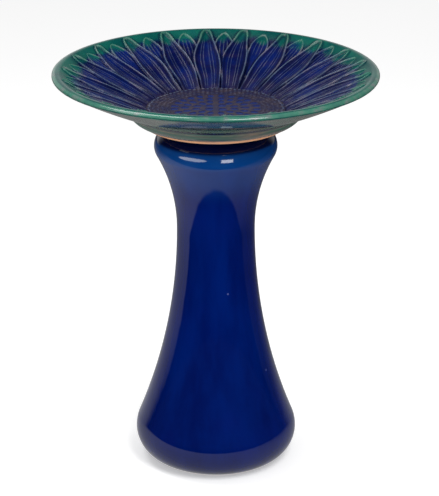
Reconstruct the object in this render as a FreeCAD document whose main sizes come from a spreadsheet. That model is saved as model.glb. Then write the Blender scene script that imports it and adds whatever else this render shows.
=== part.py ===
"""Two-piece ceramic bird bath: a sunflower bowl that lifts off an hourglass pedestal.

Millimetres, +Z up. The origin is on the ground, on the axis of the pedestal.
"""
import FreeCAD
import Part
import Sketcher
import os
import re
import sys

V = FreeCAD.Vector
FULL_TURN = 360

# Driving dimensions: alias, value, what it is. Radii are from the axis, heights from the ground.
SIZES = [
    # pedestal, from the ground up
    ("foot_radius", 84, "outer edge of the ground contact"),
    ("foot_inner", 72, "inner edge of the ground contact"),
    ("belly_radius", 117, "widest point of the base"),
    ("belly_height", 42, "height of the widest point"),
    ("belly_round", 50, "radius of the curve above the widest point"),
    ("waist_radius", 56.2, "narrowest point"),
    ("waist_height", 352, "height of the narrowest point"),
    ("collar_radius", 87.5, "widest point of the collar"),
    ("collar_height", 474, "height of the collar"),
    ("collar_round", 24, "radius of the curve under the collar"),
    ("shoulder_round", 27, "radius of the curve above the collar"),
    ("crown_radius", 74, "crown that stands inside the bowl's foot ring"),
    ("crown_top", 516, "seat for the bowl"),
    ("crown_edge", 3, "rounding of the crown's edge"),
    ("mouth_radius", 50, "open mouth in the crown"),
    ("wall", 9.5, "thickness of the pedestal's wall"),
    ("inner_round", 6, "rounding inside the crown"),
    # cushion ring
    ("ring_inner", 54, "hole of the ring"),
    ("ring_outer", 70, "outer radius of the ring"),
    ("ring_thick", 3, "thickness of the ring"),
    ("ring_edge", 0.6, "rounding of the ring's edges"),
    # bowl
    ("bowl_radius", 228.6, "rim of the bowl"),
    ("bowl_top", 584, "top of the rim"),
    ("lip_round", 4, "rounding of the rim"),
    ("margin_inner", 219, "inner edge of the plain margin"),
    ("margin_step", 2.5, "drop from the margin to the ground of the relief"),
    ("seed_radius", 98, "seed disc in the middle"),
    ("seed_height", 530, "top of the seed disc"),
    ("seed_step", 1.5, "rise from the ground of the relief to the seed disc"),
    ("ring_foot_inner", 80, "inside of the bowl's foot ring"),
    ("lead_in", 8, "rounding that guides the bowl onto the crown"),
    ("ring_foot_outer", 103, "outside of the bowl's foot ring"),
    ("ring_foot_height", 507, "underside of the foot ring"),
    ("ring_foot_round", 3, "rounding of the foot ring"),
    ("recess_round", 3, "rounding inside the foot ring"),
    ("cup_radius", 123, "outside of the cup where the brim starts"),
    ("cup_height", 525, "height of that crease"),
    ("cup_round", 23, "radius of the cup's side"),
    ("crease_round", 9, "hollow curve between cup and brim"),
    ("crease_radius", 128, "start of the straight underside of the brim"),
    ("crease_height", 530.5, "height of that start"),
    ("brim_radius", 225.5, "end of the underside of the brim"),
    ("brim_height", 576.6, "height of that end"),
    ("brim_round", 900, "slight bulge of the brim's underside"),
    # petals, as relief on the inside of the brim
    ("petal_count", 22, "petals in each of the two rows"),
    ("petal_turn", 12.7, "degrees from +X to the first petal of the front row"),
    ("petal_root", 95, "inner end of a front petal"),
    ("petal_half", 10.9, "half its width there"),
    ("petal_wide_at", 155, "where a front petal is widest"),
    ("petal_wide", 18.2, "half its width there"),
    ("petal_tip", 217, "point of a front petal"),
    ("petal_bow", 100, "radius of the sides that meet in the point"),
    ("petal_rise", 2, "height of the front petals over the ground of the relief"),
    ("back_root", 150, "inner end of a back petal"),
    ("back_half", 8, "half its width there"),
    ("back_wide_at", 180, "where a back petal is widest"),
    ("back_wide", 13.5, "half its width there"),
    ("back_tip", 212.5, "point of a back petal"),
    ("back_bow", 45, "radius of the sides that meet in the point"),
    ("back_rise", 1, "height of the back petals over the ground of the relief"),
    ("root_bury", 1.5, "how far petals reach down into the bowl"),
    ("prism_height", 620, "blank that petal outlines are cut from"),
]


def make_sheet(doc):
    """The driving dimensions as a spreadsheet with one alias to a row."""
    sheet = doc.addObject("Spreadsheet::Sheet", "Sizes")
    for row, (alias, number, meaning) in enumerate(SIZES, start=1):
        sheet.set(f"A{row}", alias)
        sheet.set(f"B{row}", str(number))
        sheet.setAlias(f"B{row}", alias)
        sheet.set(f"C{row}", meaning)
    doc.recompute()
    return sheet


def named(text):
    """Turn 'bowl_radius - lip_round' into the same sum with the sheet's name before each alias."""
    aliases = {alias for alias, _, _ in SIZES}
    return re.sub(r"[a-z_]+", lambda word: f"Sizes.{word[0]}" if word[0] in aliases else word[0], text)


def add_body(doc, name):
    body = doc.addObject("PartDesign::Body", name)
    body.Label = name
    return body


def add_sketch(body, name, role):
    """A sketch on one of the body's own origin planes."""
    sketch = body.newObject("Sketcher::SketchObject", name)
    plane = next(p for p in body.Origin.OriginFeatures if p.Role == role)
    sketch.AttachmentSupport = [(plane, "")]
    sketch.MapMode = "FlatFace"
    return sketch


def value(sketch, text):
    """What a sum of sheet values comes to, as a number."""
    result = sketch.evalExpression(named(text))
    return float(getattr(result, "Value", result))


def arc(radius=None, side=1, level=None):
    """An arc edge: its radius, or the height of its centre, or both. side 1 is a centre on the left."""
    return {"radius": radius, "side": side, "level": level}


def arc_centre(sketch, edge, begin, end):
    if edge["level"]:
        level = value(sketch, edge["level"])
        rise = (end.y - level) ** 2 - (begin.y - level) ** 2
        return V((end.x**2 - begin.x**2 + rise) / (2 * (end.x - begin.x)), level, 0)
    chord = end - begin
    radius = value(sketch, edge["radius"])
    reach = (radius**2 - (chord.Length / 2) ** 2) ** 0.5
    across = V(-chord.y, chord.x, 0).normalize()
    return (begin + end) * 0.5 + across * (edge["side"] * reach)


def edge_curve(sketch, edge, begin, end):
    if edge == "line":
        return Part.LineSegment(begin, end)
    centre = arc_centre(sketch, edge, begin, end)
    out = ((begin + end) * 0.5 - centre).normalize()
    middle = centre + out * begin.distanceToPoint(centre)
    return Part.Arc(begin, middle, end)


def bind(sketch, constraint, text):
    """Add a dimension and tie it to the sheet."""
    number = sketch.addConstraint(constraint)
    sketch.setExpression(f"Constraints[{number}]", named(text))


def pin(sketch, index, end, axis, text):
    """Hold one coordinate of an edge's end at a sum of sheet values. A text of 0 is the axis itself."""
    if not isinstance(text, str):
        return
    if text == "0":
        line = {"X": -2, "Y": -1}[axis]
        sketch.addConstraint(Sketcher.Constraint("PointOnObject", index, end, line))
        return
    length = value(sketch, text)
    bind(sketch, Sketcher.Constraint(f"Distance{axis}", -1, 1, index, end, length), text)


def end_at(sketch, index, point):
    """Which end of an edge, 1 or 2, lies at a point."""
    gaps = [sketch.getPoint(index, end).distanceToPoint(point) for end in (1, 2)]
    return 1 + gaps.index(min(gaps))


def draw_outline(sketch, corners, edges):
    """Draw a closed outline. A corner is (x, y) or (x, y, "tangent"). A coordinate given as text is
    held there, and a number is only where the solver starts. Edge n runs from corner n to the next."""
    points = []
    for corner in corners:
        x, y = (value(sketch, part) if isinstance(part, str) else part for part in corner[:2])
        points.append(V(x, y, 0))
    count = len(points)
    drawn = []
    for n, edge in enumerate(edges):
        curve = edge_curve(sketch, edge, points[n], points[(n + 1) % count])
        drawn.append(sketch.addGeometry(curve, False))
    for n, corner in enumerate(corners):
        before, after = drawn[n - 1], drawn[n]
        ends = (before, end_at(sketch, before, points[n]), after, end_at(sketch, after, points[n]))
        kind = "Tangent" if "tangent" in corner else "Coincident"
        sketch.addConstraint(Sketcher.Constraint(kind, *ends))
        pin(sketch, ends[2], ends[3], "X", corner[0])
        pin(sketch, ends[2], ends[3], "Y", corner[1])
    for index, edge in zip(drawn, edges):
        if edge == "line":
            continue
        if edge["radius"]:
            radius = value(sketch, edge["radius"])
            bind(sketch, Sketcher.Constraint("Radius", index, radius), edge["radius"])
        if edge["level"]:
            level = value(sketch, edge["level"])
            centre = Sketcher.Constraint("DistanceY", -1, 1, index, 3, level)
            bind(sketch, centre, edge["level"])
    return drawn


def revolve(body, sketch):
    """Turn an outline all the way round the vertical axis."""
    turned = body.newObject("PartDesign::Revolution", f"{body.Name}_turned")
    turned.Profile = sketch
    turned.ReferenceAxis = (sketch, ["V_Axis"])
    turned.Angle = FULL_TURN
    sketch.Visibility = False
    body.Tip = turned
    return turned


def tangent_corner(sketch, wide, wide_level, small, narrow, narrow_level):
    """Where the arc beside a widest point runs on into the long hollow arc beside the waist."""
    wide, wide_level, small, narrow, narrow_level = (
        value(sketch, text) for text in (wide, wide_level, small, narrow, narrow_level)
    )
    drop, reach = wide - narrow, narrow_level - wide_level
    both = (reach**2 + drop**2) / (2 * drop)
    share = small / both
    near = V(wide - small, wide_level, 0)
    far = V(narrow + both - small, narrow_level, 0)
    joint = near + (far - near) * share
    return (joint.x, joint.y, "tangent")


def wall_side(sketch, inset):
    """The wall's curve from belly to collar, as corners and arcs, a distance inside the outer skin."""
    belly = f"belly_radius - {inset}"
    belly_round = f"belly_round - {inset}"
    waist = f"waist_radius - {inset}"
    collar = f"collar_radius - {inset}"
    collar_round = f"collar_round - {inset}"
    low = tangent_corner(sketch, belly, "belly_height", belly_round, waist, "waist_height")
    high = tangent_corner(sketch, collar, "collar_height", collar_round, waist, "waist_height")
    corners = [
        (belly, "belly_height"),
        low,
        (waist, "waist_height"),
        high,
        (collar, "collar_height"),
    ]
    edges = [
        arc(radius=belly_round, level="belly_height"),
        arc(level="waist_height"),
        arc(level="waist_height"),
        arc(radius=collar_round, level="collar_height"),
    ]
    return corners, edges


def make_pedestal(doc):
    """Hollow hourglass: open foot, belly, waist, collar, and a crown with an open mouth."""
    body = add_body(doc, "pedestal")
    sketch = add_sketch(body, "pedestal_outline", "XZ_Plane")
    outer, outer_edges = wall_side(sketch, "0")
    inner, inner_edges = wall_side(sketch, "wall")
    shoulder_end = value(sketch, "collar_height + (shoulder_round^2"
                         " - (crown_radius - collar_radius + shoulder_round)^2)^0.5")
    inner_end = value(sketch, "collar_height + ((shoulder_round - wall)^2"
                      " - (crown_radius - collar_radius + shoulder_round - wall)^2)^0.5")
    crown_inside = "crown_radius - wall"
    crown_under = "crown_top - wall"
    corners = [
        ("foot_radius", "0"),
        *outer,
        ("crown_radius", shoulder_end),
        ("crown_radius", "crown_top - crown_edge"),
        ("crown_radius - crown_edge", "crown_top"),
        ("mouth_radius", "crown_top"),
        ("mouth_radius", crown_under),
        (f"{crown_inside} - inner_round", crown_under),
        (crown_inside, f"{crown_under} - inner_round"),
        (crown_inside, inner_end),
        *reversed(inner),
        ("foot_inner", "0"),
    ]
    edges = [
        arc(level="belly_height"),
        *outer_edges,
        arc(radius="shoulder_round", level="collar_height"),
        "line",
        arc(radius="crown_edge"),
        "line",
        "line",
        "line",
        arc(radius="inner_round", side=-1),
        "line",
        arc(radius="shoulder_round - wall", level="collar_height"),
        *reversed(inner_edges),
        arc(level="belly_height"),
        "line",
    ]
    draw_outline(sketch, corners, edges)
    revolve(body, sketch)
    return body


def make_cushion_ring(doc):
    """Flat soft ring that lies on the crown."""
    body = add_body(doc, "cushion_ring")
    sketch = add_sketch(body, "ring_outline", "XZ_Plane")
    under, over = "crown_top", "crown_top + ring_thick"
    sides = [
        ("ring_inner + ring_edge", under),
        ("ring_outer - ring_edge", under),
        ("ring_outer", f"{under} + ring_edge"),
        ("ring_outer", f"{over} - ring_edge"),
        ("ring_outer - ring_edge", over),
        ("ring_inner + ring_edge", over),
        ("ring_inner", f"{over} - ring_edge"),
        ("ring_inner", f"{under} + ring_edge"),
    ]
    draw_outline(sketch, sides, ["line", arc(radius="ring_edge")] * 4)
    revolve(body, sketch)
    return body


def make_bowl_shell(doc):
    """The bowl without its petals: foot ring, cup, flared brim, rounded rim, margin, seed disc."""
    body = add_body(doc, "bowl_shell")
    sketch = add_sketch(body, "shell_outline", "XZ_Plane")
    recess = "crown_top + ring_thick"
    ground = "bowl_top - margin_step"
    corners = [
        ("0", recess),
        ("ring_foot_inner - recess_round", recess),
        ("ring_foot_inner", f"{recess} - recess_round"),
        ("ring_foot_inner", "ring_foot_height + lead_in"),
        ("ring_foot_inner + lead_in", "ring_foot_height"),
        ("ring_foot_outer - ring_foot_round", "ring_foot_height"),
        ("ring_foot_outer", "ring_foot_height + ring_foot_round"),
        ("cup_radius", "cup_height"),
        ("crease_radius", "crease_height"),
        ("brim_radius", "brim_height"),
        ("bowl_radius", "bowl_top - lip_round"),
        ("bowl_radius - lip_round", "bowl_top"),
        ("margin_inner + margin_step", "bowl_top"),
        ("margin_inner", ground),
        ("seed_radius", "seed_height - seed_step"),
        ("seed_radius", "seed_height"),
        ("0", "seed_height"),
    ]
    edges = [
        "line",
        arc(radius="recess_round", side=-1),
        "line",
        arc(radius="lead_in"),
        "line",
        arc(radius="ring_foot_round"),
        arc(radius="cup_round"),
        arc(radius="crease_round", side=-1),
        arc(radius="brim_round"),
        arc(level="bowl_top - lip_round"),
        arc(radius="lip_round"),
        "line",
        "line",
        "line",
        "line",
        "line",
        "line",
    ]
    draw_outline(sketch, corners, edges)
    revolve(body, sketch)
    return body


def make_petal_blanks(doc, row, turn):
    """A ring of upright blanks with a petal's outline, the first one turned away from +X."""
    body = add_body(doc, f"{row}_blanks")
    body.AllowCompound = True
    sketch = add_sketch(body, f"{row}_outline", "XY_Plane")
    root, half, wide_at, wide, tip, bow = (
        f"{row}_{part}" for part in ("root", "half", "wide_at", "wide", "tip", "bow")
    )
    corners = [
        (root, half),
        (value(sketch, root), -value(sketch, half)),
        (value(sketch, wide_at), -value(sketch, wide)),
        (tip, "0"),
        (wide_at, wide),
    ]
    edges = ["line", "line", arc(radius=bow), arc(radius=bow), "line"]
    base, side, low_bow, high_bow, _ = draw_outline(sketch, corners, edges)
    low_wide = (low_bow, end_at(sketch, low_bow, V(*corners[2], 0)))
    high_wide = (high_bow, end_at(sketch, high_bow, V(corners[2][0], -corners[2][1], 0)))
    sketch.addConstraint(Sketcher.Constraint("Symmetric", base, 1, base, 2, -1))
    sketch.addConstraint(Sketcher.Constraint("Symmetric", *low_wide, *high_wide, -1))
    pad = body.newObject("PartDesign::Pad", f"{row}_pad")
    pad.Profile = sketch
    pad.setExpression("Length", named("prism_height"))
    body.Tip = pad
    doc.recompute()
    ring = body.newObject("PartDesign::PolarPattern", f"{row}_ring")
    ring.Originals = [pad]
    ring.Axis = (sketch, ["N_Axis"])
    ring.Angle = FULL_TURN
    ring.setExpression("Occurrences", named("petal_count"))
    body.Tip = ring
    body.Placement.Rotation = FreeCAD.Rotation(V(0, 0, 1), 1)
    body.setExpression("Placement.Rotation.Angle", f"({named(turn)}) * 1 deg")
    return body


def make_petal_layer(doc, row):
    """The sloping layer of clay that one row of petals is raised in."""
    body = add_body(doc, f"{row}_layer")
    sketch = add_sketch(body, f"{row}_layer_outline", "XZ_Plane")
    inside, inside_height = "seed_radius", "seed_height - seed_step"
    outside, outside_height = "margin_inner", "bowl_top - margin_step"
    corners = [
        (inside, f"{inside_height} - root_bury"),
        (outside, f"{outside_height} - root_bury"),
        (outside, f"{outside_height} + {row}_rise"),
        (inside, f"{inside_height} + {row}_rise"),
    ]
    draw_outline(sketch, corners, ["line"] * 4)
    revolve(body, sketch)
    return body


def make_petals(doc, row, turn):
    """One row of petals: the blanks' outlines, as thick as the layer."""
    petals = doc.addObject("Part::Common", f"{row}_petals")
    petals.Base = make_petal_layer(doc, row)
    petals.Tool = make_petal_blanks(doc, row, turn)
    return petals


def make_bowl(doc):
    """Shell and both rows of petals in one piece of clay."""
    bowl = doc.addObject("Part::MultiFuse", "bowl")
    bowl.Label = "bowl"
    bowl.Shapes = [
        make_bowl_shell(doc),
        make_petals(doc, "petal", "petal_turn"),
        make_petals(doc, "back", "petal_turn + 180 / petal_count"),
    ]
    bowl.Refine = True
    return bowl


def check(doc, pieces):
    """Stop if anything in the document failed, or a piece isn't one sound solid."""
    for thing in doc.Objects:
        if {"Invalid", "Error"} & set(thing.State):
            sys.exit(f"{thing.Name} failed: {thing.State}")
    for piece in pieces:
        shape = piece.Shape
        if shape.isNull() or not shape.isValid() or len(shape.Solids) != 1:
            sys.exit(f"{piece.Label} isn't one sound solid")


def main():
    doc = FreeCAD.newDocument("bird_bath")
    make_sheet(doc)
    pieces = [make_pedestal(doc), make_cushion_ring(doc), make_bowl(doc)]
    doc.recompute()
    check(doc, pieces)
    os.makedirs("parts", exist_ok=True)
    for piece in pieces:
        piece.Shape.exportStep(f"parts/{piece.Label}.step")


main()
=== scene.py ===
"""Looks of the two-piece ceramic bird bath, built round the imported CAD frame.

Lengths are worked out in millimetres and put into meshes in metres. +Z is up and the camera
stands on the -Y side.
"""
import math

import bpy
import numpy as np
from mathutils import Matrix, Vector


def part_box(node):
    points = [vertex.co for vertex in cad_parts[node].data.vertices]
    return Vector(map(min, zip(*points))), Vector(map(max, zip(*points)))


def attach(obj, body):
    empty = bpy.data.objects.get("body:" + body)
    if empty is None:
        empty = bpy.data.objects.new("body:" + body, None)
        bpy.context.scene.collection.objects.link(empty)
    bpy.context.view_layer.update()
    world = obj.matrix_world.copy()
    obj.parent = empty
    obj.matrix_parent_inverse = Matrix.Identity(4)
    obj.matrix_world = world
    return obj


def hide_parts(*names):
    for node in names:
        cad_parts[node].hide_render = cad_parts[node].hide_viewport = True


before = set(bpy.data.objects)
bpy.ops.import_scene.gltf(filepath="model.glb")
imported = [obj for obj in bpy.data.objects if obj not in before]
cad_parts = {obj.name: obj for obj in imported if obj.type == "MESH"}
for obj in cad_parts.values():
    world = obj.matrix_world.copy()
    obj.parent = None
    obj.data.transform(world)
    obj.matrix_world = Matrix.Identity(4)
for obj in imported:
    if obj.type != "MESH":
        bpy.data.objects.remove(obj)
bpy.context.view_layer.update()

MM = 0.001
TAU = 2 * math.pi


def box_mm(node):
    """A CAD node's lowest and highest corner in millimetres."""
    low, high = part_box(node)
    return [c / MM for c in low], [c / MM for c in high]


bowl_low, bowl_high = box_mm("bowl")
pedestal_high = box_mm("pedestal")[1]
ring_low, ring_high = box_mm("cushion_ring")

# ---------------------------------------------------------------- bowl sizes, mm
RIM = bowl_high[0]                  # outer radius
TOP = bowl_high[2]                  # crown of the rim
FOOT = bowl_low[2]                  # underside of the foot ring
RECESS = ring_high[2]               # underside of the bowl that rests on the cushion ring
SEED_EDGE = 98.0                    # radius of the seed disc
SEED_TOP = TOP - 54.0               # height of the seed disc
SLOPE = math.radians(24)            # inside of the brim
ROLL = 12.0                         # inner radius of curvature of the rim
CROWN = RIM - 7.6                   # radius where the rim is highest
LIP_DROP = 4.5                      # from the crown down to the widest point
PETALS = 22
PITCH = TAU / PETALS
PETAL_TURN = math.radians(12.7)     # direction of the first front petal
PETAL_ROOT = SEED_EDGE
PETAL_TIP = 217.0
BACK_ROOT = 128.0
BACK_TIP = 212.5
INNER_SEEDS = 64.0                  # radius of the zone of dimples in the seed disc

rng = np.random.default_rng(22)


# ---------------------------------------------------------------- small maths
def step(low, high, x):
    """Smooth step from 0 at low to 1 at high."""
    share = np.clip((x - low) / (high - low), 0, 1)
    return share * share * (3 - 2 * share)


def bead(x, width):
    """A rounded ridge of height 1 on x = 0."""
    return np.exp(-((x / width) ** 2))


def curve_through(points, x):
    """A smooth curve through a few (x, y) points, level where it turns back."""
    xs, ys = np.array(points, float).T
    chord = np.diff(ys) / np.diff(xs)
    slope = np.concatenate([chord[:1], (chord[1:] + chord[:-1]) / 2, chord[-1:]])
    slope[1:-1][chord[1:] * chord[:-1] <= 0] = 0
    n = np.clip(np.searchsorted(xs, x) - 1, 0, len(xs) - 2)
    wide = xs[n + 1] - xs[n]
    t = np.clip((x - xs[n]) / wide, 0, 1)
    begin = (1 + 2 * t) * (1 - t) ** 2 * ys[n] + t * (1 - t) ** 2 * wide * slope[n]
    end = t * t * (3 - 2 * t) * ys[n + 1] + t * t * (t - 1) * wide * slope[n + 1]
    return begin + end


def arc_points(centre, radius, begin, end, count):
    """Points on an arc, angles in degrees from the +r direction, without the first one."""
    angles = np.radians(np.linspace(begin, end, count + 1)[1:])
    return [(centre[0] + radius * math.cos(a), centre[1] + radius * math.sin(a)) for a in angles]


def line_points(begin, end, count):
    """Points on a straight line, without the first one."""
    return [
        (begin[0] + (end[0] - begin[0]) * n / count, begin[1] + (end[1] - begin[1]) * n / count)
        for n in range(1, count + 1)
    ]


# ---------------------------------------------------------------- relief inside the bowl
def brim_surface(radius):
    """Height of the ridges' tops inside the bowl, by radius, from the seed disc to the lip."""
    roll_start = CROWN - ROLL * math.sin(SLOPE)
    roll_height = TOP - ROLL * (1 - math.cos(SLOPE))
    slope_part = roll_height - (roll_start - radius) * math.tan(SLOPE)
    inner = TOP - ROLL + np.sqrt(np.maximum(ROLL**2 - (CROWN - radius) ** 2, 0))
    share = np.clip((radius - CROWN) / (RIM - CROWN), 0, 1)
    outer = TOP - LIP_DROP + LIP_DROP * np.sqrt(1 - share**2)
    brim = np.where(radius < roll_start, slope_part, np.where(radius < CROWN, inner, outer))
    return np.where(radius < SEED_EDGE, SEED_TOP, brim)


# Half the width of a front petal, in mm, at shares of its length from root to tip.
FRONT_SHAPE = [(0, 11.6), (0.18, 13.8), (0.30, 16.2), (0.48, 17.6), (0.58, 16.8), (0.70, 13.8),
               (0.85, 9.4), (0.93, 6.8), (0.975, 4.0), (1, 0)]
# The same for a back petal, whose first part lies hidden under the front petals.
BACK_SHAPE = [(0, 0.5), (0.3, 6.5), (0.62, 13.0), (0.78, 12.2), (0.90, 8.0), (0.97, 3.4), (1, 0)]
GAP_DEPTH = 5.0                     # between neighbouring petals
GAP_END = (186.0, 217.5)            # radii over which the gaps run out towards the margin
POOL_SHADE_END = (192.0, 214.0)           # the same for the pooled glaze and painted shade in them
GREEN_START = (194.0, 211.0)        # radii over which the ground turns from blue to green
MARGIN_START = (216.0, 220.0)       # radii over which all relief runs out into the plain margin
OPEN = -3.0                         # half-width used beyond a petal's ends

# Relief of the petals in mm: how far each lies under the ridges' tops, and what is cut or raised.
FRONT_RELIEF = {"sunk": 0.9, "hollow": 2.9, "outline": 0.9, "vein": 0.5, "groove": 0.4, "tip": 2.0}
BACK_RELIEF = {"sunk": 2.6, "rise": 0.8, "hollow": 0.9, "outline": 1.2, "vein": 0.7}
OUTLINE_WIDE = 1.5                  # half-width of a front petal's ridge
TIP_WIDER = 0.6                     # more than that towards the tip
BACK_OUTLINE_WIDE = 1.6
VEIN_WIDE = 0.85
BACK_VEIN_WIDE = 0.8
GROOVE_WIDE = 0.9
VEINS_AT = (0.24, 0.48)             # shares of a front petal's half-width
GROOVE_AT = 0.36
BACK_VEIN_AT = 0.42

# How each petal differs from the next: angles in radians, lengths and widths in mm or as shares.
lean = rng.normal(0, 0.006, PETALS)
curl = rng.normal(0, 0.015, PETALS)
tip_shift = rng.normal(0, 0.7, PETALS)
fatness = 1 + rng.normal(0, 0.035, PETALS)
back_lean = rng.normal(0, 0.006, PETALS)
back_shift = rng.normal(0, 1.0, PETALS)
wave = rng.normal(0, 0.8, PETALS)


def across_petal(radius, angle, turn, sway):
    """Number of the nearest petal in a row, and the distance from its middle line."""
    number = np.floor((angle - turn) / PITCH + 0.5)
    index = number.astype(int) % PETALS
    return index, radius * (angle - turn - number * PITCH - sway(index))


def front_petals(radius, angle):
    """The long petals: height over the ridges' tops, and masks for where glaze thins, and where it
    pools and shade is painted.
    """
    out = (radius - PETAL_ROOT) / (PETAL_TIP - PETAL_ROOT)

    def sway(index):
        return lean[index] * out**2 + curl[index] * np.sin(out * math.pi)

    index, side = across_petal(radius, angle, PETAL_TURN, sway)
    out = (radius - PETAL_ROOT) / (PETAL_TIP + tip_shift[index] - PETAL_ROOT)
    half = np.where(out < 1, curve_through(FRONT_SHAPE, out) * fatness[index], OPEN)
    side = np.abs(side + wave[index] * np.sin(2.6 * math.pi * out) * step(0.0, 0.2, out))
    past = side - half
    inside = 1 - step(0.2, 1.9, past)
    fade = step(0.0, 0.08, out) * (1 - step(0.80, 0.93, out))
    outline = bead(past, OUTLINE_WIDE + TIP_WIDER * step(0.6, 0.95, out))
    veins = sum(bead(side - share * half, VEIN_WIDE) for share in VEINS_AT) * fade
    groove = bead(side - GROOVE_AT * half, GROOVE_WIDE) * fade
    hollow = 1 - np.clip(side / np.maximum(half, 1), 0, 1) ** 1.6
    relief = FRONT_RELIEF
    height = -relief["sunk"] - relief["hollow"] * hollow * (1 - 0.5 * step(0.8, 1, out))
    height = height + relief["outline"] * outline
    height = height + relief["vein"] * veins - relief["groove"] * groove
    height = height + relief["tip"] * outline * step(0.86, 0.96, out)
    shown = 0.45 + 0.55 * step(0.02, 0.30, out)
    return {"height": height, "inside": inside, "outline": outline * shown, "veins": veins,
            "groove": groove, "green": step(0.70, 0.96, out), "beside": bead(past - 3.4, 2.1),
            "pool_shade_within": bead(past + 3.6, 1.9)}


def back_petals(radius, angle):
    """The shorter petals that show behind, between the tips of the long ones."""
    out = (radius - BACK_ROOT) / (BACK_TIP - BACK_ROOT)

    def sway(index):
        return back_lean[index] * out

    index, side = across_petal(radius, angle, PETAL_TURN + PITCH / 2, sway)
    out = (radius - BACK_ROOT) / (BACK_TIP + back_shift[index] - BACK_ROOT)
    half = np.where((out < 1) & (out > 0), curve_through(BACK_SHAPE, out), OPEN)
    past = np.abs(side) - half
    inside = 1 - step(0.2, 1.8, past)
    begin = step(0.34, 0.60, out)
    fade = begin * (1 - step(0.8, 0.95, out))
    outline = bead(past, BACK_OUTLINE_WIDE) * begin
    outer_veins = bead(np.abs(side) - BACK_VEIN_AT * half, BACK_VEIN_WIDE)
    veins = (bead(side, BACK_VEIN_WIDE) + outer_veins) * fade
    hollow = 1 - np.clip(np.abs(side) / np.maximum(half, 1), 0, 1) ** 2
    relief = BACK_RELIEF
    height = -relief["sunk"] + relief["rise"] * step(0.5, 1, out) - relief["hollow"] * hollow
    height = height + relief["outline"] * outline + relief["vein"] * veins
    return {"height": height, "inside": inside, "outline": outline, "veins": veins,
            "green": 0.06 + 0.94 * step(0.66, 1.0, out)}


def petal_relief(radius, angle):
    """Height over the ridges' tops, and the glaze masks, for both rows of petals."""
    front, back = front_petals(radius, angle), back_petals(radius, angle)
    ground = -GAP_DEPTH * (1 - step(*GAP_END, radius))
    behind = ground + (back["height"] - ground) * back["inside"]
    height = behind + (front["height"] - behind) * front["inside"]
    showing = back["inside"] * (1 - front["inside"])
    ridge = np.maximum(front["outline"], 0.62 * front["veins"]) * front["inside"]
    ridge = np.maximum(ridge, np.maximum(back["outline"], 0.7 * back["veins"]) * showing)
    # painted shade with pooled glaze: darker in the gaps between petals, along the outside of the
    # long petals' outlines, just inside them and in their grooves
    gap_pool_shade = (1 - front["inside"]) * (1 - back["inside"]) * (1 - step(*POOL_SHADE_END, radius))
    gap_pool_shade = np.maximum(gap_pool_shade, 0.95 * front["beside"] * (1 - front["inside"]))
    pool_and_shade = np.maximum(gap_pool_shade, np.maximum(0.4 * front["groove"], 0.7 * front["pool_shade_within"])
                      * front["inside"])
    green = step(*GREEN_START, radius)
    green = green + (back["green"] - green) * back["inside"]
    green = green + (front["green"] - green) * front["inside"]
    return height, {"ridge": ridge, "pool_and_shade": pool_and_shade, "green": green}


def ring_seeds(radius, angle):
    """Small seeds in five rings round the edge of the disc."""
    first, spacing, pitch, rings = SEED_EDGE - 4.0, 6.4, 6.6, 5
    deep, wide, shift = 3.0, 3.2, 0.9
    ring = np.clip(np.round((first - radius) / spacing), 0, rings - 1)
    ring_radius = first - ring * spacing
    count = np.round(TAU * ring_radius / pitch)
    place = angle * count / TAU + 0.5 * (ring % 2)
    number = np.round(place)
    around = (place - number) * pitch
    ring_radius = ring_radius + shift * np.sin(number * 4.1 + ring)
    seed = np.clip(1 - ((radius - ring_radius) / deep) ** 2 - (around / wide) ** 2, 0, 1)
    return seed**0.7


def middle_seeds(radius, angle):
    """Rounded dimples in four rings in the middle of the disc, two of each ring near +Y."""
    first, spacing, pitch, rings = INNER_SEEDS - 6.5, 15.2, 15.4, 4
    deep, wide, shift = 6.0, 4.6, 0.8
    ring = np.clip(np.round((first - radius) / spacing), 0, rings - 1)
    ring_radius = first - ring * spacing
    count = 2 * np.round(TAU * ring_radius / pitch / 2)
    place = (angle - TAU / 4) * count / TAU + 0.5
    number = np.round(place)
    around = (place - number) * pitch + 0.7 * np.sin(number * 2.9 + ring)
    out = radius - ring_radius + shift * np.sin(number * 1.7 + 2 * ring)
    return 1 - step(0.75, 1.15, np.hypot(around / wide, out / deep))


def seed_relief(radius, angle):
    """Height over the seed disc's edge, and the glaze masks."""
    inner = 1 - step(INNER_SEEDS - 1.5, INNER_SEEDS + 0.5, radius)
    small = ring_seeds(radius, angle) * (1 - inner)
    dots = middle_seeds(radius, angle) * inner
    edge = step(SEED_EDGE - 1.6, SEED_EDGE, radius)
    first = step(SEED_EDGE - 8.0, SEED_EDGE - 6.5, radius)
    height = -1.5 + (0.6 + 0.3 * first) * small + inner * (0.2 - 0.7 * dots) + 0.3 * edge
    ridge = (0.50 + 0.30 * first) * step(0.4, 0.9, small) + 0.12 * inner * (1 - dots)
    # painted shade with pooled glaze: darker between the small seeds
    pool_and_shade = 0.35 * (1 - step(0.0, 0.35, small)) * (1 - inner)
    return height, {"ridge": ridge, "pool_and_shade": pool_and_shade, "dots": dots}


def inside_of_bowl(radius, angle):
    """Height and glaze masks anywhere on the upper side of the bowl."""
    if radius[0] < SEED_EDGE:
        height, masks = seed_relief(radius, angle)
        return brim_surface(radius) + height, {**masks, "seeds": 1.0, "inner": 1.0}
    height, masks = petal_relief(radius, angle)
    root = 1 - step(SEED_EDGE, SEED_EDGE + 5, radius)
    low = 1 - step(SEED_EDGE, SEED_EDGE + 45, radius)
    lip = step(*MARGIN_START, radius)
    edge = step(RIM - 6.5, RIM - 3.0, radius)
    height = (height - 0.5 * root) * (1 - lip)
    return np.minimum(brim_surface(radius) + height, TOP), {
        "ridge": np.maximum(masks["ridge"] * (1 - lip), 0.85 * edge),
        "pool_and_shade": masks["pool_and_shade"] * (1 - lip),
        "green": np.maximum(masks["green"], lip),
        "seeds": 0.45 * low,
        "inner": 1 - lip,
    }


# ---------------------------------------------------------------- meshes
MASKS = ("ridge", "pool_and_shade", "green", "seeds", "dots", "inner", "under", "bare")


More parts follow.
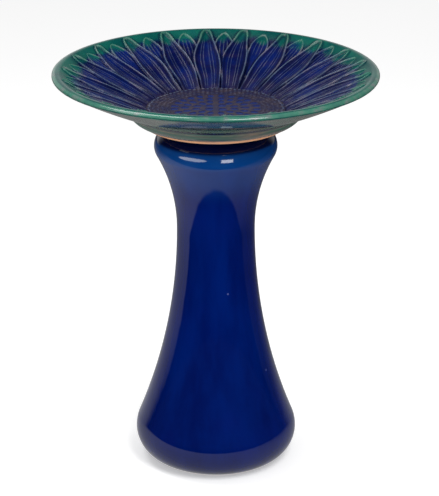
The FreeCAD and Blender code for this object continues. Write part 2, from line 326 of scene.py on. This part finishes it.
class Lathe:
    """A closed mesh made of rings, where the next ring may have twice or half as many points.

    The outline is walked anticlockwise, with the axis on the left, so that faces look outwards.
    """

    def __init__(self, name):
        self.name = name
        self.points, self.faces, self.counts = [], [], []
        self.masks = {mask: [] for mask in MASKS}

    def ring(self, radius, height, count, masks=None):
        """Add a ring. radius, height and masks are one number or one for each point."""
        angle = np.arange(count) * TAU / count
        flat = np.column_stack([radius * np.cos(angle), radius * np.sin(angle)])
        self.points.append(np.column_stack([flat, np.broadcast_to(height, count)]))
        for mask in MASKS:
            given = (masks or {}).get(mask, 0.0)
            self.masks[mask].append(np.broadcast_to(given, count))
        self.counts.append(count)
        if len(self.counts) > 1:
            begin = sum(self.counts[:-1])
            self._join(begin - self.counts[-2], self.counts[-2], begin, count)

    def _join(self, a, many, b, few):
        """Faces between the ring that starts at point a and the ring that starts at point b."""
        n = np.arange(max(many, few) if 1 in (many, few) else min(many, few))
        after = (n + 1) % len(n)
        if few == 1:
            self.faces.append(np.column_stack([a + n, a + after, b + 0 * n]))
        elif many == 1:
            self.faces.append(np.column_stack([a + 0 * n, b + after, b + n]))
        elif many == few:
            self.faces.append(np.column_stack([a + n, a + after, b + after, b + n]))
        elif many > few:
            middle, end = a + 2 * n + 1, a + (2 * n + 2) % many
            self.faces.append(np.column_stack([a + 2 * n, middle, b + n]))
            self.faces.append(np.column_stack([middle, b + after, b + n]))
            self.faces.append(np.column_stack([middle, end, b + after]))
        else:
            middle, end = b + 2 * n + 1, b + (2 * n + 2) % few
            self.faces.append(np.column_stack([a + n, middle, b + 2 * n]))
            self.faces.append(np.column_stack([a + n, a + after, middle]))
            self.faces.append(np.column_stack([a + after, end, middle]))

    def close_loop(self):
        """Join the last ring to the first one."""
        count = self.counts[-1]
        self._join(sum(self.counts) - count, count, 0, self.counts[0])

    def object(self, material):
        """Make the mesh object, with its masks as attributes."""
        mesh = bpy.data.meshes.new(self.name)
        points = np.concatenate(self.points) * MM
        loops = np.concatenate([face.ravel() for face in self.faces])
        sizes = np.concatenate([np.full(len(face), face.shape[1]) for face in self.faces])
        starts = np.append(0, np.cumsum(sizes)[:-1])
        mesh.vertices.add(len(points))
        mesh.vertices.foreach_set("co", points.astype(np.float32).ravel())
        mesh.loops.add(len(loops))
        mesh.loops.foreach_set("vertex_index", loops.astype(np.int32))
        mesh.polygons.add(len(sizes))
        mesh.polygons.foreach_set("loop_start", starts.astype(np.int32))
        mesh.polygons.foreach_set("loop_total", sizes.astype(np.int32))
        mesh.update(calc_edges=True)
        mesh.validate()
        mesh.shade_smooth()
        mesh.set_sharp_from_angle(angle=math.radians(50))
        for mask, parts in self.masks.items():
            attribute = mesh.attributes.new(mask, "FLOAT", "POINT")
            attribute.data.foreach_set("value", np.concatenate(parts).astype(np.float32))
        mesh.materials.append(material)
        piece = bpy.data.objects.new(self.name, mesh)
        bpy.context.scene.collection.objects.link(piece)
        return piece


def bend(begin, corner, end, count):
    """Points on the curve from begin to end that leaves and arrives aimed at corner."""
    points = []
    for n in range(1, count + 1):
        t = n / count
        weights = ((1 - t) ** 2, 2 * t * (1 - t), t * t)
        points.append(tuple(
            sum(w * p[k] for w, p in zip(weights, (begin, corner, end))) for k in (0, 1)
        ))
    return points


FOOT_INNER, FOOT_OUTER = 80.0, 103.0    # foot ring of the bowl
FOOT_MIDDLE = 90.0                  # parts the recess from the outside of the foot ring
CUP, CUP_ABOVE = 123.0, 18.0        # widest point of the cup, and its height over the foot
CREASE, CREASE_ABOVE = 128.0, 23.5  # hollow between the cup and the brim
LIP_ABOVE = 60.0                    # everything higher than this over the foot is the lip

# Glaze under the bowl, by height over the foot: where bare clay ends outside and inside the foot
# ring, where the thick edge of the glaze lies, and where the dark glaze of the crease begins.
BARE_OUTSIDE, BARE_INSIDE = (3.2, 9.6), (9.0, 11.0)
DRIP_ABOVE = 8.6
CREASE_GLAZE = (19.8, 21.2)


def bowl_underside():
    """Outline of the underside from the axis to the widest point of the lip, as (radius, height)."""
    foot_in, foot_out, lead, edge = FOOT_INNER, FOOT_OUTER, 8.0, 3.0
    cup, crease = (CUP, FOOT + CUP_ABOVE), (CREASE, FOOT + CREASE_ABOVE)
    lip_height, lip_wide, lip_deep = TOP - LIP_DROP, 3.1, 3.0
    brim = (RIM - lip_wide, lip_height - lip_deep)
    cup_aim, crease_aim, brim_aim = (119.5, FOOT + 8.0), (124.6, FOOT + 21.6), (178.0, FOOT + 43.5)
    outline = [(1.0, RECESS)] + line_points((1.0, RECESS), (foot_in - edge, RECESS), 18)
    outline += arc_points((foot_in - edge, RECESS - edge), edge, 90, 0, 5)
    outline += arc_points((foot_in + lead, FOOT + lead), lead, 180, 270, 8)
    outline += line_points((foot_in + lead, FOOT), (foot_out - edge, FOOT), 4)
    outline += arc_points((foot_out - edge, FOOT + edge), edge, -90, 0, 5)
    outline += bend((foot_out, FOOT + edge), cup_aim, cup, 16)
    outline += bend(cup, crease_aim, crease, 8)
    outline += bend(crease, brim_aim, brim, 36)
    for n in range(1, 7):
        a = math.radians(90 * n / 7)
        outline.append((brim[0] + lip_wide * math.sin(a), lip_height - lip_deep * math.cos(a)))
    return outline


def underside_masks(radius, height):
    """Glaze masks under the bowl: darker in the crease, painted shade in and round the recess, thin
    on edges, none on the foot ring.
    """
    above = height - FOOT
    outside = radius > FOOT_MIDDLE
    near_lip = above > LIP_ABOVE
    bare = 1 - step(*BARE_OUTSIDE, above) if outside else 1 - 0.9 * step(*BARE_INSIDE, above)
    crease = step(*CREASE_GLAZE, above) * (1 - step(CREASE + 0.5, CREASE + 4.5, radius))
    shoulder = 0.5 * bead(above - CUP_ABOVE, 2.0) if radius < CREASE else 0.0
    drip = 0.55 * bead(above - DRIP_ABOVE, 2.4) if outside else 0.0
    lip = 0.8 * bead(radius - (RIM - 2.4), 1.1) if near_lip else 0.0
    # painted shade in the recess and on the foot ring, inside its outer edge
    recess_shade = 1 - step(FOOT_OUTER - 4.0, FOOT_OUTER - 1.0, radius)
    return {"bare": bare, "pool_and_shade": max(crease, recess_shade), "ridge": max(shoulder, lip, drip),
            "under": 1 - step(RIM - 2.5, RIM - 0.5, radius), "green": 1.0}


def make_bowl(material):
    """The bowl with its relief as one closed mesh. Rings get coarser towards the axis."""
    lathe = Lathe("glazed_bowl")
    fine = PETALS * 60     # points in the outer rings
    spacing = 0.85          # mm between rings inside the bowl

    lathe.ring(0.0, RECESS, 1, underside_masks(0.0, RECESS))
    under = bowl_underside()
    for n, (radius, height) in enumerate(under):
        left = len(under) - n
        count = fine if left <= 2 else fine // 2 if radius > FOOT_MIDDLE else fine // 4
        lathe.ring(radius, height, count, underside_masks(radius, height))

    turn = np.radians(np.linspace(0, 90, 13))
    lip = CROWN + (RIM - CROWN) * np.cos(turn)
    brim = np.linspace(CROWN, SEED_EDGE, int((CROWN - SEED_EDGE) / spacing))
    disc = np.arange(SEED_EDGE - spacing * 0.5, 1.5, -spacing)
    for radius in np.concatenate([lip[:-1], brim, disc]):
        nearer = sum(radius < SEED_EDGE / part for part in (1.6, 4, 8))
        count = fine // 2**nearer
        angle = np.arange(count) * TAU / count
        height, masks = inside_of_bowl(np.full(count, radius), angle)
        lathe.ring(radius, height, count, masks)
    height, masks = inside_of_bowl(np.zeros(1), np.zeros(1))
    lathe.ring(0.0, height, 1, masks)
    return lathe.object(material)


# ---------------------------------------------------------------- pedestal
# Radii, the heights they are at, and how far each part is rounded, in mm.
BELLY, BELLY_AT, BELLY_ROUND = pedestal_high[0], 42.0, 50.0
WAIST, WAIST_AT = 56.2, 352.0
COLLAR, COLLAR_AT, COLLAR_ROUND, SHOULDER = 87.5, 474.0, 24.0, 27.0
FOOT_OUT, FOOT_IN = 84.0, 72.0
CROWN_OUT, MOUTH, CROWN_EDGE, INNER_ROUND = 74.0, 50.0, 3.0, 6.0
WALL = 9.5
CROWN_TOP = pedestal_high[2]
WALL_STRAY = 0.16                   # mm inwards, for each unit of the waves in the wall
GLAZE_LIGHTENS = (400.0, 450.0)     # heights over which the glaze gets lighter
COLLAR_LIGHTENS = (458.0, 470.0)    # and lighter again on the collar
CROWN_SHADE = (483.0, 487.5)        # heights over which the painted shade on the crown under the bowl begins


def flare(wide, wide_at, small, narrow, narrow_at, count):
    """From a widest point to a narrowest one: a small round arc running into a long hollow one."""
    drop, reach = wide - narrow, abs(narrow_at - wide_at)
    both = (reach**2 + drop**2) / (2 * drop)
    large = both - small
    sweep = math.degrees(math.atan2(reach, both - drop))
    sign = 1 if narrow_at > wide_at else -1
    points = []
    for n in range(1, count // 3 + 1):
        a = math.radians(sweep * n / (count // 3))
        points.append((wide - small + small * math.cos(a), wide_at + sign * small * math.sin(a)))
    rest = count - count // 3
    for n in range(1, rest + 1):
        a = math.radians(sweep * (1 - n / rest))
        far = narrow + large
        points.append((far - large * math.cos(a), narrow_at - sign * large * math.sin(a)))
    return points


def pedestal_side(inset, count):
    """One skin of the wall, from the belly up to the collar."""
    belly = (BELLY - inset, BELLY_AT)
    collar = (COLLAR - inset, COLLAR_AT)
    waist = (WAIST - inset, WAIST_AT)
    lower = flare(*belly, BELLY_ROUND - inset, *waist, count)
    upper = flare(*collar, COLLAR_ROUND - inset, *waist, count)
    return [belly] + lower + upper[-2::-1] + [collar]


def foot_curve(inset, foot, count):
    """From the foot up to the belly, on one arc whose centre is level with the belly."""
    belly = BELLY - inset
    reach = belly - foot
    radius = (reach**2 + BELLY_AT**2) / (2 * reach)
    low = -math.degrees(math.asin(BELLY_AT / radius))
    centre = (belly - radius, BELLY_AT)
    return [(foot, 0.0)] + arc_points(centre, radius, low, 0, count)[:-1]


def shoulder_arc(inset, crown, count):
    """From the widest point of the collar up and in to the crown's wall."""
    radius = SHOULDER - inset
    centre = (COLLAR - SHOULDER, COLLAR_AT)
    rise = math.degrees(math.acos((crown - centre[0]) / radius))
    return arc_points(centre, radius, 0, rise, count)


def pedestal_outside():
    """From the ground up to the seat for the bowl."""
    shoulder = shoulder_arc(0, CROWN_OUT, 20)
    outline = foot_curve(0, FOOT_OUT, 24) + pedestal_side(0, 90) + shoulder
    outline += line_points(shoulder[-1], (CROWN_OUT, CROWN_TOP - CROWN_EDGE), 6)
    outline += arc_points((CROWN_OUT - CROWN_EDGE, CROWN_TOP - CROWN_EDGE), CROWN_EDGE, 0, 90, 5)
    return outline


def pedestal_inside():
    """From the seat in to the mouth, and down the hollow to the ground."""
    ceiling, wall, corner = CROWN_TOP - WALL, CROWN_OUT - WALL, CROWN_OUT - WALL - INNER_ROUND
    shoulder = shoulder_arc(WALL, wall, 8)
    outline = line_points((CROWN_OUT - CROWN_EDGE, CROWN_TOP), (MOUTH, CROWN_TOP), 6)
    outline += line_points((MOUTH, CROWN_TOP), (MOUTH, ceiling), 3)
    outline += line_points((MOUTH, ceiling), (corner, ceiling), 4)
    outline += arc_points((corner, ceiling - INNER_ROUND), INNER_ROUND, 90, 0, 5)
    outline += shoulder[::-1]
    outline += pedestal_side(WALL, 30)[::-1] + foot_curve(WALL, FOOT_IN, 10)[::-1]
    return outline


def make_pedestal(material):
    """Hollow pedestal with the slight unevenness of a cast and fettled wall, never outwards."""
    lathe = Lathe("glazed_pedestal")
    count = 256
    angle = np.arange(count) * TAU / count
    for radius, height in pedestal_outside():
        wave = np.sin(2 * angle + 0.7 + height / 90) + 0.6 * np.sin(3 * angle - height / 57)
        settle = step(0, 30, height) * (1 - step(CROWN_TOP - 24, CROWN_TOP - 18, height))
        uneven = radius + WALL_STRAY * (wave - 1.6) * settle
        masks = {
            "bare": 1 - step(0.6, 1.6, height),
            "ridge": 0.45 * step(*GLAZE_LIGHTENS, height) + 0.55 * step(*COLLAR_LIGHTENS, height),
            # painted shade on the crown under the bowl
            "pool_and_shade": step(*CROWN_SHADE, height),
        }
        lathe.ring(uneven, height, count, masks)
    for radius, height in pedestal_inside():
        lathe.ring(radius, height, count, {"bare": 1.0})
    lathe.close_loop()
    return lathe.object(material)


def make_cushion(material):
    """Soft ring with rounded edges, as thick as the gap between crown and bowl."""
    lathe = Lathe("soft_cushion_ring")
    inner, outer = ring_high[0] - 16.0, ring_high[0]
    middle, half = (ring_low[2] + ring_high[2]) / 2, (ring_high[2] - ring_low[2]) / 2
    outline = arc_points((outer - half, middle), half, -90, 90, 10)
    outline += line_points((outer - half, middle + half), (inner + half, middle + half), 8)
    outline += arc_points((inner + half, middle), half, 90, 270, 10)
    outline += line_points((inner + half, middle - half), (outer - half, middle - half), 8)
    for radius, height in outline:
        lathe.ring(radius, height, 160)
    lathe.close_loop()
    return lathe.object(material)


# ---------------------------------------------------------------- materials
def linear(red, green, blue):
    """A colour given as 0-255 screen values, for a shader."""
    return tuple(
        c / 12.92 if c <= 0.04045 else ((c + 0.055) / 1.055) ** 2.4
        for c in (v / 255 for v in (red, green, blue))
    ) + (1.0,)


# Bowl: glaze where it is deep (pooled, and in painted shade), even and thin, inside and under the
# bowl
COBALT, DEEP_COBALT = linear(0, 20, 80), linear(0, 8, 56)
TEAL, DEEP_TEAL = linear(8, 80, 70), linear(0, 62, 60)
PLUM = linear(28, 22, 62)
SEED_BROWN, SEED_GREY, SEED_BLUE = linear(48, 40, 52), linear(30, 28, 58), linear(8, 30, 88)
# pooled glaze and painted shade in the gaps between petals and seeds
POOLED_SHADE_BLUE, POOLED_SHADE_GREEN = linear(2, 6, 34), linear(2, 34, 46)
THIN_BLUE, THIN_GREEN, THIN_PLUM = linear(70, 84, 104), linear(62, 110, 94), linear(112, 98, 110)
UNDER_GREEN, UNDER_GREY, UNDER_TAN = linear(40, 82, 70), linear(72, 78, 74), linear(134, 108, 88)
# darker blue in the crease, and painted shade on the glaze of the recess
CREASE_BLUE_AND_RECESS_SHADE = linear(2, 12, 40)
EDGE_GREEN, EDGE_TAN = linear(88, 112, 104), linear(168, 130, 104)
# painted shade on the bare clay inside the foot ring's outer edge
RECESS_SHADE_CLAY = linear(66, 48, 40)

# Pedestal
PEDESTAL_BLUE, PEDESTAL_DARK, PEDESTAL_CLOUD = linear(0, 22, 88), linear(0, 13, 72), linear(3, 17, 92)
COLLAR_BLUE, COLLAR_LIGHT = linear(4, 50, 108), linear(14, 56, 112)
# painted shade on the crown under the bowl
CROWN_SHADE_BLUE = linear(0, 6, 42)
PINHOLE_BLUE = linear(64, 72, 124)

# Clay and rubber
BUFF_CLAY, ORANGE_CLAY, GROG = linear(196, 148, 118), linear(214, 158, 116), linear(150, 108, 80)
RUBBER_BLACK, RUBBER_DUST = linear(30, 30, 31), linear(52, 51, 50)
CLAY_ROUGH = 0.8
GLAZE_INDEX = 1.52


class Nodes:
    """Shorthand for building a node tree."""

    def __init__(self, tree):
        self.tree = tree

    def feed(self, socket, source):
        if isinstance(source, bpy.types.NodeSocket):
            self.tree.links.new(source, socket)
        else:
            socket.default_value = source

    def node(self, kind, inputs=None, **settings):
        made = self.tree.nodes.new(kind)
        for key, setting in settings.items():
            setattr(made, key, setting)
        for key, source in (inputs or {}).items():
            self.feed(made.inputs[key], source)
        return made

    def math(self, operation, a, b=0.0):
        return self.node("ShaderNodeMath", {0: a, 1: b}, operation=operation).outputs[0]

    def span(self, source, low, high, out_low=0.0, out_high=1.0):
        """Smooth step of a value from one range to another."""
        inputs = {"Value": source, "From Min": low, "From Max": high,
                  "To Min": out_low, "To Max": out_high}
        made = self.node("ShaderNodeMapRange", inputs, interpolation_type="SMOOTHSTEP")
        return made.outputs["Result"]


class Shader(Nodes):
    """Shorthand for building a material's node tree."""

    def __init__(self, name):
        self.material = bpy.data.materials.new(name)
        self.material.use_nodes = True
        super().__init__(self.material.node_tree)
        self.surface = self.tree.nodes["Principled BSDF"]
        self.place = self.tree.nodes.new("ShaderNodeTexCoord").outputs["Object"]

    def mask(self, name):
        return self.node("ShaderNodeAttribute", attribute_name=name).outputs["Fac"]

    def noise(self, scale, detail=3.0, rough=0.5, place=None):
        inputs = {"Vector": place or self.place, "Scale": scale, "Detail": detail,
                  "Roughness": rough}
        return self.node("ShaderNodeTexNoise", inputs).outputs["Fac"]

    def mix(self, share, a, b):
        """Colour a where share is 0, and b where it is 1."""
        made = self.node("ShaderNodeMix", data_type="RGBA")
        self.feed(made.inputs[0], share)
        self.feed(made.inputs[6], a)
        self.feed(made.inputs[7], b)
        return made.outputs[2]

    def stretched(self, x, y, z):
        """The object's own coordinates, scaled along each axis."""
        made = self.node("ShaderNodeMapping", {"Vector": self.place, "Scale": (x, y, z)})
        return made.outputs["Vector"]

    def rough_where(self, bare, gloss):
        """Set the glaze's gloss and index, with matt clay where bare is 1."""
        rough = self.node("ShaderNodeMix", {0: bare, 2: gloss, 3: CLAY_ROUGH}).outputs[0]
        self.feed(self.surface.inputs["Roughness"], rough)
        self.feed(self.surface.inputs["IOR"], GLAZE_INDEX)

    def bump(self, height, depth, base=None):
        inputs = {"Height": height, "Distance": depth, "Strength": 1.0}
        if base is not None:
            inputs["Normal"] = base
        return self.node("ShaderNodeBump", inputs).outputs["Normal"]


def clay(shader):
    """Bare fired clay: buff to orange, with fine grog."""
    wide = shader.noise(35, 4)
    fine = shader.noise(900, 3, 0.7)
    colour = shader.mix(shader.span(wide, 0.35, 0.65), ORANGE_CLAY, BUFF_CLAY)
    return shader.mix(shader.span(fine, 0.5, 0.75, 0, 0.35), colour, GROG)


def pinholes(shader, scale):
    """Sparse pin pricks in the glaze, as a mask."""
    cells = shader.node("ShaderNodeTexVoronoi", {"Vector": shader.place, "Scale": scale})
    dot = shader.span(cells.outputs["Distance"], 0.10, 0.05)
    pick = shader.node("ShaderNodeSeparateColor", {"Color": cells.outputs["Color"]})
    return shader.math("MULTIPLY", dot, shader.span(pick.outputs["Red"], 0.93, 0.95))


def inside_glaze(shader, wide, fine):
    """Inside the bowl: colour of the glaze, and its colour where it thins over a ridge."""
    green = shader.math("ADD", shader.mask("green"), shader.span(fine, 0.3, 0.7, -0.25, 0.25))
    green = shader.span(green, 0.22, 0.9)
    blue = shader.mix(shader.span(wide, 0.35, 0.65), DEEP_COBALT, COBALT)
    blue = shader.mix(shader.span(fine, 0.4, 0.7, 0, 0.36), blue, PLUM)
    teal = shader.mix(shader.span(wide, 0.35, 0.65), DEEP_TEAL, TEAL)
    colour = shader.mix(green, blue, teal)
    seeds = shader.mix(shader.span(fine, 0.35, 0.65), SEED_GREY, SEED_BROWN)
    seeds = shader.mix(shader.mask("dots"), seeds, SEED_BLUE)
    colour = shader.mix(shader.mask("seeds"), colour, seeds)
    # pooled glaze and painted shade in the gaps between petals and seeds
    deep = shader.mix(green, POOLED_SHADE_BLUE, POOLED_SHADE_GREEN)
    colour = shader.mix(shader.math("MULTIPLY", shader.mask("pool_and_shade"), 0.88), colour, deep)
    thin = shader.mix(green, THIN_BLUE, THIN_GREEN)
    thin = shader.mix(shader.span(fine, 0.45, 0.7, 0, 0.5), thin, THIN_PLUM)
    return colour, thin


def under_glaze(shader):
    """Under the bowl: colour of the streaky glaze, darker in the crease and in painted shade in the
    recess, and its colour where it thins over an edge.
    """
    streaks = shader.noise(1.0, 4, 0.6, shader.stretched(14, 14, 150))
    colour = shader.mix(shader.span(streaks, 0.35, 0.6), UNDER_GREEN, UNDER_GREY)
    colour = shader.mix(shader.span(streaks, 0.58, 0.74, 0, 0.7), colour, UNDER_TAN)
    # darker in the crease, and painted shade in the recess
    colour = shader.mix(shader.mask("pool_and_shade"), colour, CREASE_BLUE_AND_RECESS_SHADE)
    return colour, shader.mix(shader.span(streaks, 0.35, 0.65), EDGE_GREEN, EDGE_TAN)


def bowl_glaze():
    """Breaking glaze: cobalt in the petals, grey where it thins on ridges, green at tips and rim,
    darker where it pools and where shade is painted between petals and under the bowl.
    """
    shader = Shader("bowl_glaze")
    inner, under = shader.mask("inner"), shader.mask("under")
    wide, fine = shader.noise(22, 3), shader.noise(64, 2, 0.5)
    colour, thin = inside_glaze(shader, wide, fine)
    below, thin_below = under_glaze(shader)
    colour, thin = shader.mix(under, colour, below), shader.mix(under, thin, thin_below)
    uneven = shader.span(fine, 0.3, 0.65, 0.80, 1.05)
    line = shader.math("MULTIPLY", shader.mask("ridge"), uneven)
    colour = shader.mix(shader.span(line, 0.2, 0.9, 0.0, 0.95), colour, thin)
    # bare clay of the foot ring, with painted shade inside its outer edge
    ring = shader.mix(shader.mask("pool_and_shade"), clay(shader), RECESS_SHADE_CLAY)
    ragged = shader.math("ADD", shader.mask("bare"), shader.span(wide, 0.35, 0.65, -0.3, 0.3))
    ragged = shader.span(ragged, 0.4, 0.6)
    colour = shader.mix(ragged, colour, ring)
    shader.feed(shader.surface.inputs["Base Color"], colour)

    duller = shader.math("SUBTRACT", shader.math("MULTIPLY", inner, 0.20),
                         shader.math("MULTIPLY", under, 0.02))
    gloss = shader.math("ADD", shader.span(wide, 0.3, 0.7, 0.09, 0.12), duller)
    shader.rough_where(ragged, gloss)
    level = shader.span(inner, 0.0, 1.0, 0.5, 0.14)
    shader.feed(shader.surface.inputs["Specular IOR Level"], level)
    shader.feed(shader.surface.inputs["Normal"], shader.bump(shader.noise(30, 1), 0.0001))
    return shader.material


def pedestal_glaze():
    """Deep cobalt gloss with faint runs, lighter on the collar, painted shade on the crown under the
    bowl, and bare clay under and inside.
    """
    shader = Shader("pedestal_glaze")
    runs = shader.noise(1.0, 4, 0.55, shader.stretched(26, 26, 5))
    cloud = shader.noise(9, 4, 0.6)
    blue = shader.mix(shader.span(runs, 0.3, 0.7), PEDESTAL_DARK, PEDESTAL_BLUE)
    blue = shader.mix(shader.span(cloud, 0.45, 0.75, 0, 0.4), blue, PEDESTAL_CLOUD)
    light = shader.mix(shader.span(cloud, 0.35, 0.65), COLLAR_BLUE, COLLAR_LIGHT)
    blue = shader.mix(shader.mask("ridge"), blue, light)
    # painted shade on the crown under the bowl
    blue = shader.mix(shader.mask("pool_and_shade"), blue, CROWN_SHADE_BLUE)
    pin = pinholes(shader, 55)
    blue = shader.mix(pin, blue, PINHOLE_BLUE)
    bare = shader.span(shader.mask("bare"), 0.4, 0.6)
    shader.feed(shader.surface.inputs["Base Color"], shader.mix(bare, blue, clay(shader)))
    gloss = shader.span(cloud, 0.3, 0.7, 0.04, 0.08)
    shader.rough_where(bare, gloss)
    swell = shader.bump(shader.noise(1.0, 2, 0.5, shader.stretched(30, 30, 10)), 0.0005)
    shader.feed(shader.surface.inputs["Normal"], shader.bump(pin, -0.0001, swell))
    return shader.material


def soft_rubber():
    """Matt dark rubber with a fine grain and dust."""
    shader = Shader("soft_rubber")
    grain = shader.noise(1400, 2)
    colour = shader.mix(shader.noise(40, 3), RUBBER_BLACK, RUBBER_DUST)
    shader.feed(shader.surface.inputs["Base Color"], colour)
    shader.feed(shader.surface.inputs["Roughness"], shader.span(grain, 0.3, 0.7, 0.7, 0.9))
    shader.feed(shader.surface.inputs["Normal"], shader.bump(grain, 0.0002))
    return shader.material


# ---------------------------------------------------------------- stage, light, camera
TABLE_EDGE = -0.335                 # m: glaze sees a pale table up to here, then a dark room
TABLE_GLOW = 0.60                   # brightness of the table in reflections, at its brightest
COVE_GLOW = 0.66                    # brightness of the wall behind the table in reflections
ROOM_GLOW = 0.015                   # brightness of the dark room in reflections
SOFT_LIGHT = 0.53                   # even light from all round on matt surfaces
FLOOR_LIFT = 0.38                   # brings the floor near to white for the camera
FLOOR_AT = -0.0005                  # m: just under the foot


def floor_material():
    """Pale to the camera. In reflections it is a lit table: brighter on the left, with an edge."""
    shader = Shader("pale_floor")
    surface = shader.surface
    shader.feed(surface.inputs["Base Color"], linear(244, 244, 244))
    shader.feed(surface.inputs["Roughness"], 0.9)
    shader.feed(surface.inputs["Specular IOR Level"], 0.0)
    where = shader.node("ShaderNodeNewGeometry").outputs["Position"]
    apart = shader.node("ShaderNodeSeparateXYZ", {"Vector": where}).outputs
    path = shader.node("ShaderNodeLightPath").outputs

    curve = shader.math("MULTIPLY", shader.math("MULTIPLY", apart["X"], apart["X"]), 0.2)
    from_edge = shader.math("SUBTRACT", shader.math("SUBTRACT", apart["Y"], TABLE_EDGE), curve)
    on_table = shader.span(from_edge, -0.02, 0.02)
    right = shader.span(apart["X"], -0.35, 1.1, 1.0, 0.1)
    left = shader.span(apart["X"], -2.2, -0.5, 0.3, 1.0)
    deep = shader.span(apart["Y"], -0.2, 0.95, 1.0, 0.4)
    glow = shader.math("MULTIPLY", shader.math("MULTIPLY", right, left), deep)
    glow = shader.math("MULTIPLY", shader.math("MULTIPLY", glow, on_table), TABLE_GLOW)
    reflected = shader.node("ShaderNodeEmission", {"Color": (1, 1, 1, 1), "Strength": glow})
    lift = shader.math("MULTIPLY", path["Is Camera Ray"], FLOOR_LIFT)
    shader.feed(surface.inputs["Emission Color"], (1, 1, 1, 1))
    shader.feed(surface.inputs["Emission Strength"], lift)
    inputs = {0: path["Is Glossy Ray"], 1: surface.outputs[0], 2: reflected.outputs[0]}
    mixed = shader.node("ShaderNodeMixShader", inputs)
    out = shader.tree.nodes["Material Output"]
    shader.feed(out.inputs["Surface"], mixed.outputs[0])
    return shader.material


def make_floor():
    """A wide plane just under the foot."""
    bpy.ops.mesh.primitive_plane_add(size=24, location=(0, 0, FLOOR_AT))
    floor = bpy.context.object
    floor.name = "floor"
    floor.data.materials.append(floor_material())


def make_world():
    """White to the camera. In reflections: a pale wall behind, fading upwards, and a dark room."""
    world = bpy.data.worlds.new("studio")
    bpy.context.scene.world = world
    world.use_nodes = True
    shader = Nodes(world.node_tree)
    shader.tree.nodes.clear()
    ray = shader.node("ShaderNodeTexCoord").outputs["Generated"]
    apart = shader.node("ShaderNodeSeparateXYZ", {"Vector": ray}).outputs
    level = shader.math("SUBTRACT", 1.0, shader.math("MULTIPLY", apart["Z"], apart["Z"]))
    level = shader.math("SQRT", shader.math("MAXIMUM", level, 0.0001))
    sideways = shader.math("DIVIDE", shader.math("ABSOLUTE", apart["X"]), level)
    behind = shader.math("MULTIPLY", shader.span(sideways, 0.55, 0.82, 1.0, 0.0),
                         shader.span(apart["Y"], 0.0, 0.1))
    low = shader.span(apart["Z"], 0.08, 0.72, 1.0, 0.0)
    right = shader.span(apart["X"], -0.3, 0.6, 1.05, 0.6)
    wall = shader.math("MULTIPLY", shader.math("MULTIPLY", behind, low), right)
    wall = shader.math("ADD", shader.math("MULTIPLY", wall, COVE_GLOW), ROOM_GLOW)
    path = shader.node("ShaderNodeLightPath").outputs
    soft = shader.node("ShaderNodeMix", {0: path["Is Glossy Ray"], 2: SOFT_LIGHT, 3: wall}).outputs[0]
    seen = shader.node("ShaderNodeMix", {0: path["Is Camera Ray"], 2: soft, 3: 1.0}).outputs[0]
    sky = shader.node("ShaderNodeBackground", {"Color": (1, 1, 1, 1), "Strength": seen})
    out = shader.node("ShaderNodeOutputWorld")
    shader.feed(out.inputs["Surface"], sky.outputs[0])


def add_light(name, spot, target, wide, tall, radiance, shape="RECTANGLE", only=None):
    """A soft box aimed at target, in metres. Given a piece as only, it lights just that piece."""
    data = bpy.data.lights.new(name, "AREA")
    data.shape = shape
    data.size, data.size_y, data.energy = wide, tall, radiance * wide * tall * math.pi
    lamp = bpy.data.objects.new(name, data)
    lamp.location = spot
    lamp.rotation_euler = (Vector(target) - Vector(spot)).to_track_quat("-Z", "Y").to_euler()
    bpy.context.scene.collection.objects.link(lamp)
    lamp.visible_camera = False
    if only:
        lit = bpy.data.collections.new(name + "_lights")
        lit.objects.link(only)
        lamp.light_linking.receiver_collection = lit
    return lamp


def make_lights(pedestal, bowl):
    """Boxes above and a fill for the bowl, and two cards in front for the pedestal's collar."""
    rim, collar = (0, 0, 0.58), (0, -0.08, 0.46)
    add_light("top_box", (-0.62, 0.12, 1.90), rim, 0.60, 0.90, 7.0)
    add_light("front_box", (0.55, -1.2, 1.85), rim, 0.66, 1.00, 10.5)
    fill = add_light("fill", (0.0, -1.3, 0.80), rim, 0.9, 0.5, 4.0, only=bowl)
    fill.visible_glossy = False
    add_light("left_box", (-1.21, -0.58, 1.38), rim, 0.6, 1.0, 3.5, only=bowl)
    add_light("card_left", (-0.42, -0.50, 0.46), collar, 0.64, 0.19, 4.0, "ELLIPSE", only=pedestal)
    add_light("card_right", (0.20, -0.56, 0.45), collar, 0.22, 0.17, 9.0, only=pedestal)


def make_camera():
    """A long lens about three metres away, looking down 20 degrees."""
    away, height = 3.002, 1.4405
    tilt, yaw = math.radians(20.494), math.radians(0.1)
    data = bpy.data.cameras.new("camera")
    data.sensor_width = 36.0
    data.lens = 162.065
    camera = bpy.data.objects.new("camera", data)
    camera.location = (0, -away, height)
    ahead = Vector((math.sin(yaw) * math.cos(tilt), math.cos(yaw) * math.cos(tilt), -math.sin(tilt)))
    camera.rotation_euler = ahead.to_track_quat("-Z", "Y").to_euler()
    bpy.context.scene.collection.objects.link(camera)
    bpy.context.scene.camera = camera


# ---------------------------------------------------------------- put together
def place(piece, node, body, slot):
    """Let a mesh stand in for a CAD node, on that node's body. The slot given is not used."""
    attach(piece, body)
    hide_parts(node)


bowl_piece = make_bowl(bowl_glaze())
pedestal_piece = make_pedestal(pedestal_glaze())
place(bowl_piece, "bowl", "bowl", "bowl_glaze")
place(pedestal_piece, "pedestal", "pedestal", "pedestal_glaze")
place(make_cushion(soft_rubber()), "cushion_ring", "cushion_ring", "soft_rubber")
make_floor()
make_world()
make_lights(pedestal_piece, bowl_piece)
make_camera()
bpy.context.scene.view_settings.view_transform = "Standard"
